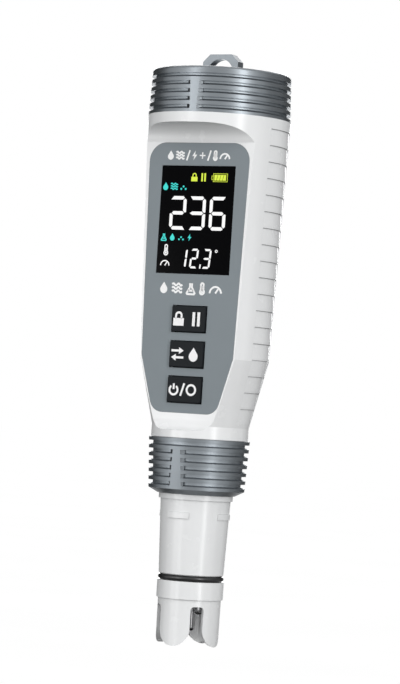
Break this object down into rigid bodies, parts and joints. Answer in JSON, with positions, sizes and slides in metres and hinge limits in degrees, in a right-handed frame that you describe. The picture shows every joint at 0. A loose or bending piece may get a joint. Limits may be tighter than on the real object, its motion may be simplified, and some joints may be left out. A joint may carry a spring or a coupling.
{
  "type": "water quality meter pen",
  "caption": "Handheld pen meter for dissolved solids: tapered housing with flat display face, push keys, ribbed screw cap with lanyard lug, ribbed collar and slotted electrode tip.",
  "frame": {"origin": "on the axis at the lowest end of the electrode guard", "axes": "+Z along the pen to the lanyard lug, -Y out of the flat face with the display and keys, +X to the reader's right"},
  "size_m": [0.04, 0.04, 0.165],
  "materials": {
    "white_shell": "satin moulded ABS",
    "panel_grey": "fine matt grey film over moulded plate",
    "window_black": "polished black acrylic lens",
    "key_black": "matt black key",
    "ribbed_grey": "satin moulded grey",
    "seal_black": "black nitrile",
    "lcd_glass": "dark display cell",
    "light_white": "diffusing acrylic",
    "frame_black": "black moulded frame",
    "board_green": "solder-masked laminate",
    "chip_black": "moulded chip packages",
    "steel": "bright steel",
    "gold": "gold-plated contact",
    "cell_wrap": "printed metal can",
    "foam": "closed-cell foam",
    "nylon_black": "black moulded nylon",
    "sensor_grey": "grey probe core"
  },
  "bodies": {
    "case": {"case_shell": "white_shell", "face_panel": "panel_grey", "display_window": "window_black", "lcd_glass": "lcd_glass", "lcd_backlight": "light_white", "lcd_frame": "frame_black", "main_board": "board_green", "board_screws": "steel", "board_components": "chip_black", "tact_switches": "frame_black", "battery_sled": "nylon_black", "battery_cells": "cell_wrap", "battery_springs": "steel", "battery_contacts": "steel", "probe_socket": "nylon_black", "header_pins": "gold"},
    "cap_seal": {"cap_gasket": "seal_black"},
    "cap": {"battery_cap": "ribbed_grey", "cap_pad": "foam"},
    "probe": {"probe_stem": "white_shell", "stem_o_ring": "seal_black", "electrode_guard": "white_shell", "electrode_insulator": "sensor_grey", "electrode_pins": "steel", "temperature_sensor": "steel", "probe_plug": "nylon_black", "plug_pins": "gold", "probe_face_seal": "seal_black"},
    "nut": {"collar_nut": "ribbed_grey"},
    "hold": {"hold_key": "key_black", "hold_plunger": "frame_black"},
    "mode": {"mode_key": "key_black", "mode_plunger": "frame_black"},
    "power": {"power_key": "key_black", "power_plunger": "frame_black"}
  },
  "joints": [
    {"name": "cap_rise", "type": "slide", "parent": "case", "child": "cap_seal", "axis": [0, 0, 1], "range_m": [0, 0.0096]},
    {"name": "cap_turn", "type": "hinge", "parent": "cap_seal", "child": "cap", "pos_m": [0, 0, 0.1468], "axis": [0, 0, 1], "range_deg": [0, 1080]},
    {"name": "probe_drop", "type": "slide", "parent": "case", "child": "probe", "axis": [0, 0, -1], "range_m": [0, 0.0104]},
    {"name": "collar_turn", "type": "hinge", "parent": "probe", "child": "nut", "pos_m": [0, 0, 0.0436], "axis": [0, 0, -1], "range_deg": [0, 1440]},
    {"name": "hold_press", "type": "slide", "parent": "case", "child": "hold", "axis": [0, 1, 0], "range_m": [0, 0.0005], "stiffness_N_per_m": 400, "springref_m": -0.001},
    {"name": "mode_press", "type": "slide", "parent": "case", "child": "mode", "axis": [0, 1, 0], "range_m": [0, 0.0005], "stiffness_N_per_m": 400, "springref_m": -0.001},
    {"name": "power_press", "type": "slide", "parent": "case", "child": "power", "axis": [0, 1, 0], "range_m": [0, 0.0005], "stiffness_N_per_m": 400, "springref_m": -0.001}
  ],
  "couplings": [
    {"joint": "cap_rise", "follows": "cap_turn", "m_per_rad": 0.0005093},
    {"joint": "probe_drop", "follows": "collar_turn", "m_per_rad": 0.0004138}
  ]
}
